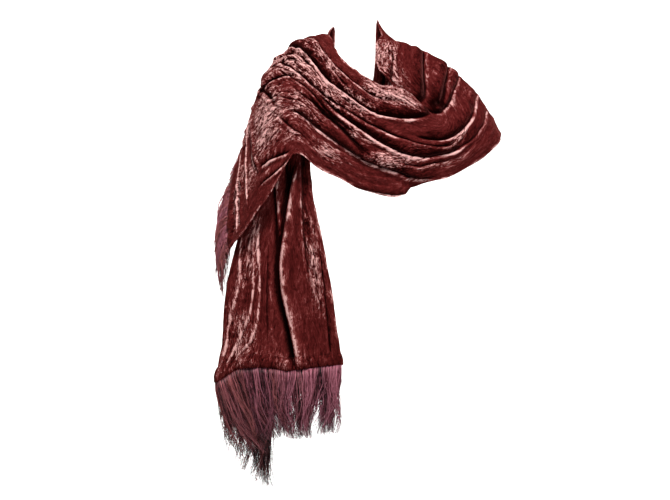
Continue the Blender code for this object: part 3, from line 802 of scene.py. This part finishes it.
def falling_lines(root, first, length):
    """Centre lines from root: even steps along a direction that turns from first to straight down by rise."""
    turn = rise(np.linspace(0, 1, RINGS) * 1.6)[None, :, None]
    direction = unit((1 - turn) * first[:, None] + turn * DOWN)
    step = (length / (RINGS - 1))[:, None, None]
    moves = (direction[:, :-1] + direction[:, 1:]) / 2 * step
    return root[:, None] + np.concatenate([np.zeros_like(moves[:, :1]), np.cumsum(moves, axis=1)], axis=1)


def sway(share, power, waves, phase):
    """A sine wave down each strand, which grows by the share to a power."""
    return share[None] ** power * np.sin(TURN * waves[:, None] * share[None] + phase[:, None])


def fringe_strands(edge, outward, facing, sizes, across, count, seed):
    """(centre lines, facing, share down the strand, tone with painted shade, brownness) of the fringe's
    strands.

    A strand leaves the edge along outward and turns to fall. Strands gather into locks towards their tips,
    each lock sways by a sine wave, and each strand has a smaller sway of its own. Under the top of the fringe
    the strands belly out by a sine of the share's root.
    """
    rng = np.random.default_rng(seed)
    bins = np.linspace(0, 1, 400)
    crowd = np.cumsum(np.interp(bins, sizes["across"], sizes["density"]))
    place = np.sort(np.interp(rng.random(count), crowd / crowd[-1], bins))
    at = place * (len(across) - 1)
    low = np.minimum(at.astype(int), len(across) - 2)
    part = (at - low)[:, None]

    def on_edge(values):
        """Values for each point of the edge, at the strands' places."""
        return values[low] * (1 - part) + values[low + 1] * part

    def here(key):
        """A column of the fringe's table, at the strands' places."""
        return np.interp(place, sizes["across"], sizes[key])

    face = unit(on_edge(facing))
    length = here("length_mm") * MM * (1 - sizes["ragged"] * rng.random(count) ** 1.6)
    depth = rng.uniform(-1, 1, count)
    root = on_edge(edge) + face * (depth * ROOT_SPREAD)[:, None]
    lines = falling_lines(root, unit(on_edge(outward)), length)
    run = on_edge(np.gradient(edge, axis=0))
    along_edge = unit(run - (run @ DOWN)[:, None] * DOWN)

    share = np.linspace(0, 1, RINGS)
    locks = max(count // LOCK["strands"], 4)
    lock = np.clip((place * locks + rng.normal(0, LOCK["mixed"], count)).astype(int), 0, locks - 1)
    stray = rng.random(count) < STRAY["share"]
    phase, waves = rng.random(locks) * TURN, rng.uniform(0.45, 1.1, locks)
    drift, layer = rng.normal(0, 1, locks), rng.uniform(-1, 1, locks)
    own_phase, own_waves = rng.random(count) * TURN, rng.uniform(0.8, 2.6, count)
    centre = (lock + rng.uniform(0.2, 0.8, locks)[lock]) / locks
    span = np.linalg.norm(np.diff(edge, axis=0), axis=1).sum()
    drawn = LOCK["drawn"] * np.where(stray, STRAY["drawn"], 1.0)
    astray = rng.normal(0, 1, count) * np.where(stray, STRAY["out"], STRAY["others_out"])
    sideways = ((centre - place) * span * drawn)[:, None] * share[None] ** 1.1
    sideways += LOCK_SWAY * sway(share, 1.2, waves[lock], phase[lock])
    sideways += sizes["loose"] * STRAND_SWAY * sway(share, 0.8, own_waves, own_phase)
    apart = LOCK_DRIFT * drift[lock] + sizes["loose"] * STRAND_STRAY * astray
    sideways += apart[:, None] * share[None] ** 1.5
    fullness = np.sin(np.pi * np.sqrt(share) * 0.86)[None]
    forward = fullness * ((0.45 * depth + 0.55 * layer[lock]) * here("belly_mm") * MM / 2)[:, None]
    lines = lines + along_edge[:, None] * sideways[:, :, None] + face[:, None] * forward[:, :, None]
    lines[:, :, 0] += (here("sweep_mm") * MM)[:, None] * share[None] ** 1.3
    shade = sizes["pale"] + OWN_SHADE * rng.normal(0, 1, count)
    # Painted shade: locks and strands further back are darker.
    shade += LOCK_DEPTH_PAINTED_SHADE * layer[lock] + STRAND_DEPTH_PAINTED_SHADE * depth
    brown = here("brown") + BROWN_CHANCE * rng.normal(0, 1, locks)[lock]
    return lines, face, share, np.clip(shade, 0, 1), np.clip(brown, 0, 1)


def node_in(tree, kind, place, inputs=(), **settings):
    """A shader node with its settings, and its inputs either set or linked."""
    node = tree.nodes.new(kind)
    node.location = (place[0] * 200, place[1] * 180)
    for name, value in settings.items():
        setattr(node, name, value)
    for name, value in dict(inputs).items():
        socket = next(s for i, s in enumerate(node.inputs) if s.enabled and name in (s.name, i))
        if isinstance(value, bpy.types.NodeSocket):
            tree.links.new(value, socket)
        else:
            socket.default_value = value
    return node


def result(node):
    """The one output in use of a node that has several."""
    return next(s for s in node.outputs if s.enabled)


def new_material(name):
    """A material with an empty node tree."""
    material = bpy.data.materials.new(name)
    material.use_nodes = True
    material.node_tree.nodes.clear()
    return material, material.node_tree


def finish_material(tree, place, looks):
    """The material's surface: one principled shader with the looks that are given."""
    shader = node_in(tree, "ShaderNodeBsdfPrincipled", place, looks)
    output = node_in(tree, "ShaderNodeOutputMaterial", (place[0] + 2, place[1]))
    tree.links.new(shader.outputs[0], output.inputs["Surface"])


def colour_ramp(tree, place, tone, stops):
    """The colour at a tone, through (tone, colour) stops."""
    ramp = node_in(tree, "ShaderNodeValToRGB", place, {"Fac": tone})
    elements = ramp.color_ramp.elements
    for element, (position, colour) in zip(elements, (stops[0], stops[-1])):
        element.position, element.color = position, (*colour, 1)
    for position, colour in stops[1:-1]:
        elements.new(position).color = (*colour, 1)
    return ramp.outputs["Color"]


def point_value(tree, place, name):
    """A value that give_value put on the points."""
    return node_in(tree, "ShaderNodeAttribute", place, attribute_name=name).outputs["Fac"]


def pattern(tree, row, coordinates, per_metre, detail, roughness, distortion):
    """Noise on the cloth's coordinates, with a number of cells a metre along and across."""
    scale = {"Vector": coordinates, "Scale": (*per_metre, 1.0)}
    mapped = node_in(tree, "ShaderNodeMapping", (-5, row), scale).outputs[0]
    settings = {"Vector": mapped, "Scale": 1.0}
    settings.update({"Detail": detail, "Roughness": roughness, "Distortion": distortion})
    return node_in(tree, "ShaderNodeTexNoise", (-4, row), settings).outputs["Fac"]


def maths(tree, place, operation, *values):
    """One step of arithmetic on sockets and numbers."""
    return node_in(tree, "ShaderNodeMath", place, dict(enumerate(values)), operation=operation).outputs[0]


def weighed(tree, place, start, parts):
    """start and the sum of (socket, factor) pairs."""
    total = start
    for step, (socket, factor) in enumerate(parts):
        total = maths(tree, (place[0], place[1] - step), "MULTIPLY_ADD", socket, factor, total)
    return total


def crushed_velvet(name, colours, less):
    """Velvet with painted shade in its creases and hollows, painted highlights on its crests, crease lips and
    long edges, red elsewhere, and pale in streaks where its pile lies crushed.

    tone = middle - less + (flecks - 0.5) x (smooth swing + crushed swing x crushed x patches), with crest,
    patches and nap from their middles, and edge and crushed, each in its share; crest and edge paint
    highlight and shade. A ramp turns it into colour.
    """
    material, tree = new_material(name)
    coordinates = node_in(tree, "ShaderNodeUVMap", (-6, 0), uv_map="cloth").outputs["UV"]
    crest, crushed, edge = (
        point_value(tree, (-5, 4 + row), word) for row, word in enumerate(("crest", "crushed", "edge"))
    )
    flecks = pattern(tree, 1, coordinates, *FLECKS)
    patches = pattern(tree, 0, coordinates, *PATCHES)
    nap = pattern(tree, -1, coordinates, *NAP)
    clumps = maths(tree, (-5, 3), "MULTIPLY", crushed, patches)
    swing = weighed(tree, (-4, 3), SMOOTH_SWING, [(clumps, CRUSHED_SWING)])
    swung = maths(tree, (-2, 2), "MULTIPLY", maths(tree, (-3, 2), "SUBTRACT", flecks, 0.5), swing)
    values = {"crest": crest, "patches": patches, "nap": nap, "edge": edge, "crushed": crushed}
    parts = [(swung, 1.0)] + [(values[word], share) for word, share in SHARES.items()]
    middles = sum(SHARES[word] for word in ("crest", "patches", "nap")) / 2
    tone = weighed(tree, (-1, 3), MIDDLE_TONE - middles - less, parts)
    stops = [(position, getattr(colours, word)) for word, position in PILE_TONES.items()]
    relief = weighed(tree, (-1, -1), 0.0, [(flecks, 1.0), (nap, NAP_RELIEF)])
    raised = node_in(tree, "ShaderNodeBump", (2, -1), {"Height": relief, "Strength": 0.6, "Distance": 0.003})
    looks = {
        "Base Color": colour_ramp(tree, (1, 1), tone, stops),
        "Normal": raised.outputs["Normal"],
        "Roughness": 0.50,
        "Specular IOR Level": 0.0,
        "Sheen Weight": 0.22,
        "Sheen Roughness": 0.32,
        "Sheen Tint": (0.75, 0.20, 0.19, 1.0),
    }
    finish_material(tree, (4, 0), looks)
    return material


def feather_strands(name, colours):
    """Strands that differ from one to the next in tone and brownness, with painted shade on those further
    back, each flecked along its length.
    """
    material, tree = new_material(name)
    place = node_in(tree, "ShaderNodeTexCoord", (-5, -1)).outputs["Object"]
    noise = {"Vector": place, "Scale": 90.0, "Detail": 3.0}
    flecks = node_in(tree, "ShaderNodeTexNoise", (-3, -1), noise).outputs["Fac"]
    tone = weighed(tree, (-2, 0), 0.0, [(point_value(tree, (-3, 0), "shade"), 0.8), (flecks, 0.35)])
    stops = ((0.18, colours.feather_dark), (0.52, colours.feather), (0.92, colours.feather_light))
    dyed = {
        "Factor": point_value(tree, (-3, 1), "brown"),
        "A": colour_ramp(tree, (0, 0), tone, stops),
        "B": (*colours.feather_brown, 1),
    }
    stained = node_in(tree, "ShaderNodeMix", (2, 0), dyed, data_type="RGBA", blend_type="MULTIPLY")
    looks = {
        "Base Color": result(stained),
        "Roughness": 0.40,
        "Specular IOR Level": 0.18,
        "Sheen Weight": 0.04,
        "Sheen Roughness": 0.4,
        "Sheen Tint": (0.9, 0.60, 0.68, 1.0),
    }
    finish_material(tree, (4, 0), looks)
    return material


def plain_paper(name, colour):
    """The floor and backdrop's matt paper, with a faint unevenness."""
    material, tree = new_material(name)
    place = node_in(tree, "ShaderNodeTexCoord", (-5, 0)).outputs["Object"]
    cloud = node_in(tree, "ShaderNodeTexNoise", (-3, 0), {"Vector": place, "Scale": 0.6, "Detail": 2.0})
    duller = [0.985 * part for part in colour]
    mixed = colour_ramp(tree, (-1, 0), cloud.outputs["Fac"], ((0.0, duller), (1.0, colour)))
    finish_material(tree, (2, 0), {"Base Color": mixed, "Roughness": 0.9, "Specular IOR Level": 0.1})
    return material


class StoleCloth(bpy.types.PropertyGroup):
    wall: FloatProperty(
        name="Velvet", description="The velvet's thickness with its pile", default=0.0026, unit="LENGTH"
    )
    hem: FloatProperty(
        name="Hem", description="The padded hem's thickness at its fullest", default=0.0150, unit="LENGTH"
    )
    fold_depth: FloatProperty(
        name="Fold depth", description="Share of the creases' full depth", default=1.0, subtype="FACTOR"
    )
    crush: FloatProperty(
        name="Crush", description="Height of the crushed wrinkles", default=0.0042, unit="LENGTH"
    )


class StoleFringe(bpy.types.PropertyGroup):
    front_count: IntProperty(name="Front strands", description="Strands in the front fringe", default=3400)
    back_count: IntProperty(name="Back strands", description="Strands in the back fringe", default=1700)
    strand: FloatProperty(
        name="Strand", description="A strand's radius at its root", default=0.00078, unit="LENGTH"
    )


class StoleColours(bpy.types.PropertyGroup):
    # The darkest pile colour is also the painted shade of creases and hollows; the laid, pale and crushed
    # ones also paint highlights on crests, crease lips and long edges, besides the crushed streaks.
    deep_pile_and_shade: FloatVectorProperty(
        name="Pile, deep", description="Upright pile", subtype="COLOR", default=(0.007, 0.0006, 0.0006)
    )
    pile: FloatVectorProperty(
        name="Pile", description="Pile as it mostly lies", subtype="COLOR", default=(0.092, 0.0108, 0.0104)
    )
    pile_lit: FloatVectorProperty(
        name="Pile, laid", description="Pile laid flat", subtype="COLOR", default=(0.165, 0.032, 0.031)
    )
    pile_pale: FloatVectorProperty(
        name="Pile, pale", description="Pile that starts to lie crushed", subtype="COLOR",
        default=(0.34, 0.105, 0.100),
    )
    pile_crushed: FloatVectorProperty(
        name="Pile, crushed", description="Crushed streaks", subtype="COLOR", default=(0.78, 0.44, 0.42)
    )
    feather_dark: FloatVectorProperty(
        name="Feather, dark", description="Darkest strands", subtype="COLOR", default=(0.006, 0.0010, 0.0020)
    )
    feather: FloatVectorProperty(
        name="Feather", description="Most strands", subtype="COLOR", default=(0.115, 0.020, 0.033)
    )
    feather_light: FloatVectorProperty(
        name="Feather, light", description="Palest strands", subtype="COLOR", default=(0.44, 0.150, 0.205)
    )
    feather_brown: FloatVectorProperty(
        name="Feather, browned", description="Multiplies the browner strands", subtype="COLOR",
        default=(0.72, 0.62, 0.42),
    )


class StoleStage(bpy.types.PropertyGroup):
    floor: FloatProperty(
        name="Floor", description="The floor's height under the neck's base", default=-1.45, unit="LENGTH"
    )
    paper: FloatVectorProperty(
        name="Paper", description="Floor and backdrop", subtype="COLOR", default=(0.90, 0.90, 0.89)
    )
    key: FloatProperty(name="Key light", description="Its power", default=185.0, unit="POWER")
    fill: FloatProperty(name="Fill light", description="Its power", default=16.0, unit="POWER")
    paper_light: FloatProperty(
        name="Paper lights", description="Power of each light on the backdrop", default=160.0, unit="POWER"
    )
    surround: FloatProperty(name="Surround", description="Strength of the even light", default=0.13)


def stole_sheet(scene):
    """The worn sheet at the panel's settings."""
    return worn_sheet(scene.stole_cloth.fold_depth, scene.stole_cloth.crush)


class STOLE_OT_velvet(bpy.types.Operator):
    """Build the seven stretches of crushed velvet"""

    bl_idname = "stole.velvet"
    bl_label = "Velvet"

    def execute(self, context):
        sheet = stole_sheet(context.scene)
        material = crushed_velvet("crushed_velvet", context.scene.stole_colours, 0.0)
        for row in rows_of(STRETCH_COLUMNS, STRETCHES):
            name = row["node"] + "_velvet"
            first, last = sheet["rows"][row["node"]]
            half = np.full(last - first + 1, context.scene.stole_cloth.wall / 2)
            mesh = sheet_part(name, sheet, row["node"], half, True)
            finished_piece(name, mesh, material, row["node"])
        return {"FINISHED"}


def hem_half(sheet, node, from_seam, wall, hem):
    """Half the hem's thickness: a power of a sine across it, uneven by mottle, and thin at the seam."""
    puff = np.sin(np.pi * np.clip(from_seam * 0.93 + 0.02, 0, 1)) ** 0.7
    first, last = sheet["rows"][node]
    cloth = sheet["cloth"][first : last + 1]
    x, y = cloth[:, :, 1] / HEM_UNEVEN["across"], cloth[:, :, 0] / HEM_UNEVEN["along"]
    chance = mottle(x, y, HEM_UNEVEN["seed"])
    uneven = HEM_UNEVEN["least"] + HEM_UNEVEN["chance"] * chance
    inside = rise(sheet["across"] / HEM_CORNER_REACH) * rise((1 - sheet["across"]) / HEM_CORNER_REACH)
    corners = HEM_CORNER + (1 - HEM_CORNER) * inside
    half = wall / 2 + (hem - wall) / 2 * puff[:, None] * uneven * corners
    half[np.isclose(from_seam, 1)] = HEM_SEAM_HALF
    return half


class STOLE_OT_hems(bpy.types.Operator):
    """Build the padded hem at each end"""

    bl_idname = "stole.hems"
    bl_label = "Hems"

    def execute(self, context):
        cloth = context.scene.stole_cloth
        sheet = stole_sheet(context.scene)
        material = crushed_velvet("hem_velvet", context.scene.stole_colours, HEM_DARKER)
        share = np.linspace(0, 1, HEM_CELLS + 1)
        for node, from_seam in (("front_hem", share[::-1]), ("back_hem", share)):
            half = hem_half(sheet, node, from_seam, cloth.wall, cloth.hem)
            mesh = sheet_part(node + "_roll", sheet, node, half, False)
            finished_piece(node + "_roll", mesh, material, node)
        return {"FINISHED"}


def build_fringe(scene, node, row, outward, sizes, count, seed, slot):
    """One fringe of strands along a row of the sheet, in a material of the slot's name."""
    sheet = stole_sheet(scene)
    edge = evened(sheet["points"][row], 6) - outward * FRINGE_TUCK
    facing, across = unit(sheet["normals"][row]), sheet["across"]
    lines, face, share, shade, brown = fringe_strands(edge, outward, facing, sizes, across, count, seed)
    taper = 1 - TIP_TAPER * share[None] ** TAPER_POWER
    radius = scene.stole_fringe.strand * taper * (0.75 + 0.5 * shade[:, None])
    mesh = strand_mesh(node + "_feather", lines, face, radius)
    give_value(mesh, "shade", np.repeat(shade, RINGS * 3))
    give_value(mesh, "brown", np.repeat(brown, RINGS * 3))
    finished_piece(node + "_feather", mesh, feather_strands(slot, scene.stole_colours), node)


class STOLE_OT_front_fringe(bpy.types.Operator):
    """Build the feather fringe of the front end"""

    bl_idname = "stole.front_fringe"
    bl_label = "Front fringe"

    def execute(self, context):
        count = context.scene.stole_fringe.front_count
        down = np.tile(DOWN, (COLUMNS_ACROSS + 1, 1))
        build_fringe(context.scene, "front_fringe", 0, down, FRONT_FRINGE, count, 51, "feather")
        return {"FINISHED"}


class STOLE_OT_back_fringe(bpy.types.Operator):
    """Build the feather fringe of the back end"""

    bl_idname = "stole.back_fringe"
    bl_label = "Back fringe"

    def execute(self, context):
        count = context.scene.stole_fringe.back_count
        sheet = stole_sheet(context.scene)
        lean = np.interp(sheet["across"], BACK_FRINGE["across"], BACK_FRINGE["lean"])[:, None]
        away = evened(unit(sheet["points"][-1] - sheet["points"][-6]), 10)
        outward = unit(away * (1 - lean / 2) + lean * LEAN_AWAY)
        build_fringe(context.scene, "back_fringe", -1, outward, BACK_FRINGE, count, 52, "back_feather")
        return {"FINISHED"}


class STOLE_OT_declare(bpy.types.Operator):
    """An empty step: it declares nothing and leaves the stretches as they are"""

    bl_idname = "stole.declare"
    bl_label = "Cloth facts"

    def execute(self, context):
        return {"FINISHED"}


def paper_sweep(floor, colour):
    """The floor and backdrop: flat, then start + bend sin a, bend - bend cos a to a quarter turn, then up."""
    turn = np.linspace(0, math.pi / 2, 25)
    start, bend = PAPER["bend_start"], PAPER["bend"]
    curve = np.stack([start + bend * np.sin(turn), bend * (1 - np.cos(turn))], axis=1)
    profile = np.concatenate([[(PAPER["front"], 0.0)], curve, [(start + bend, PAPER["height"])]])
    side = np.linspace(-PAPER["side"], PAPER["side"], 7)
    grid = np.zeros((len(profile), len(side), 3))
    grid[:, :, 0] = side
    grid[:, :, 1:] = profile[:, None]
    grid[:, :, 2] += floor
    index = np.arange(grid.shape[0] * grid.shape[1]).reshape(grid.shape[:2])
    quads = np.stack([index[:-1, :-1], index[:-1, 1:], index[1:, 1:], index[1:, :-1]], axis=2)
    mesh = bpy.data.meshes.new("paper_sweep")
    mesh.from_pydata(grid.reshape(-1, 3), [], quads.reshape(-1, 4).tolist())
    mesh.shade_smooth()
    mesh.materials.append(plain_paper("paper", colour))
    return bpy.data.objects.new("paper_sweep", mesh)


def light_panel(light, look):
    """A square light panel that faces a point, from a row of the table of lights."""
    data = bpy.data.lights.new(light["name"], "AREA")
    data.size, data.energy, data.color = light["size"], getattr(look, light["power"]), light["colour"]
    panel = bpy.data.objects.new(light["name"], data)
    panel.location = light["place"]
    aim = Vector(light["toward"]) - Vector(light["place"])
    panel.rotation_euler = aim.to_track_quat("-Z", "Y").to_euler()
    return panel


def level_camera():
    """The camera, looking level along +Y."""
    data = bpy.data.cameras.new("camera")
    data.sensor_width, data.lens = CAMERA["sensor"], CAMERA["lens"]
    camera = bpy.data.objects.new("camera", data)
    camera.location = CAMERA["place"]
    camera.rotation_euler = (math.pi / 2, 0, 0)
    return camera


class STOLE_OT_stage(bpy.types.Operator):
    """Build the floor and backdrop, the lights and the camera"""

    bl_idname = "stole.stage"
    bl_label = "Stage"

    def execute(self, context):
        scene, look = context.scene, context.scene.stole_stage
        link = scene.collection.objects.link
        sweep = paper_sweep(look.floor, look.paper)
        link(sweep)
        for light in rows_of(LIGHT_COLUMNS, LIGHTS):
            link(light_panel(light, look))
        scene.world = bpy.data.worlds.new("surround")
        scene.world.use_nodes = True
        background = scene.world.node_tree.nodes["Background"]
        background.inputs["Color"].default_value = (1, 1, 1, 1)
        background.inputs["Strength"].default_value = look.surround
        scene.view_settings.view_transform = "Standard"
        scene.camera = level_camera()
        link(scene.camera)
        return {"FINISHED"}


class STOLE_PT_panel(bpy.types.Panel):
    bl_label = "Evening stole"
    bl_idname = "STOLE_PT_panel"
    bl_space_type = "VIEW_3D"
    bl_region_type = "UI"
    bl_category = "Stole"

    def draw(self, context):
        for group, names in PANEL_ROWS:
            box = self.layout.box()
            for name in names:
                box.prop(getattr(context.scene, group), name)
        for operator in OPERATORS:
            self.layout.operator(operator.bl_idname)


PANEL_ROWS = (
    ("stole_cloth", ("wall", "hem", "fold_depth", "crush")),
    ("stole_fringe", ("front_count", "back_count", "strand")),
    ("stole_colours", (*PILE_TONES, "feather_dark", "feather", "feather_light", "feather_brown")),
    ("stole_stage", ("floor", "paper", "key", "fill", "paper_light", "surround")),
)
GROUPS = {
    "stole_cloth": StoleCloth,
    "stole_fringe": StoleFringe,
    "stole_colours": StoleColours,
    "stole_stage": StoleStage,
}
OPERATORS = (
    STOLE_OT_velvet,
    STOLE_OT_hems,
    STOLE_OT_front_fringe,
    STOLE_OT_back_fringe,
    STOLE_OT_declare,
    STOLE_OT_stage,
)


def register():
    for kind in (*GROUPS.values(), *OPERATORS, STOLE_PT_panel):
        bpy.utils.register_class(kind)
    for name, kind in GROUPS.items():
        setattr(bpy.types.Scene, name, PointerProperty(type=kind))


def unregister():
    for name in GROUPS:
        delattr(bpy.types.Scene, name)
    for kind in reversed((*GROUPS.values(), *OPERATORS, STOLE_PT_panel)):
        bpy.utils.unregister_class(kind)


def main():
    register()
    bpy.ops.stole.velvet()
    bpy.ops.stole.hems()
    bpy.ops.stole.front_fringe()
    bpy.ops.stole.back_fringe()
    bpy.ops.stole.declare()
    bpy.ops.stole.stage()


if __name__ == "__main__":
    main()
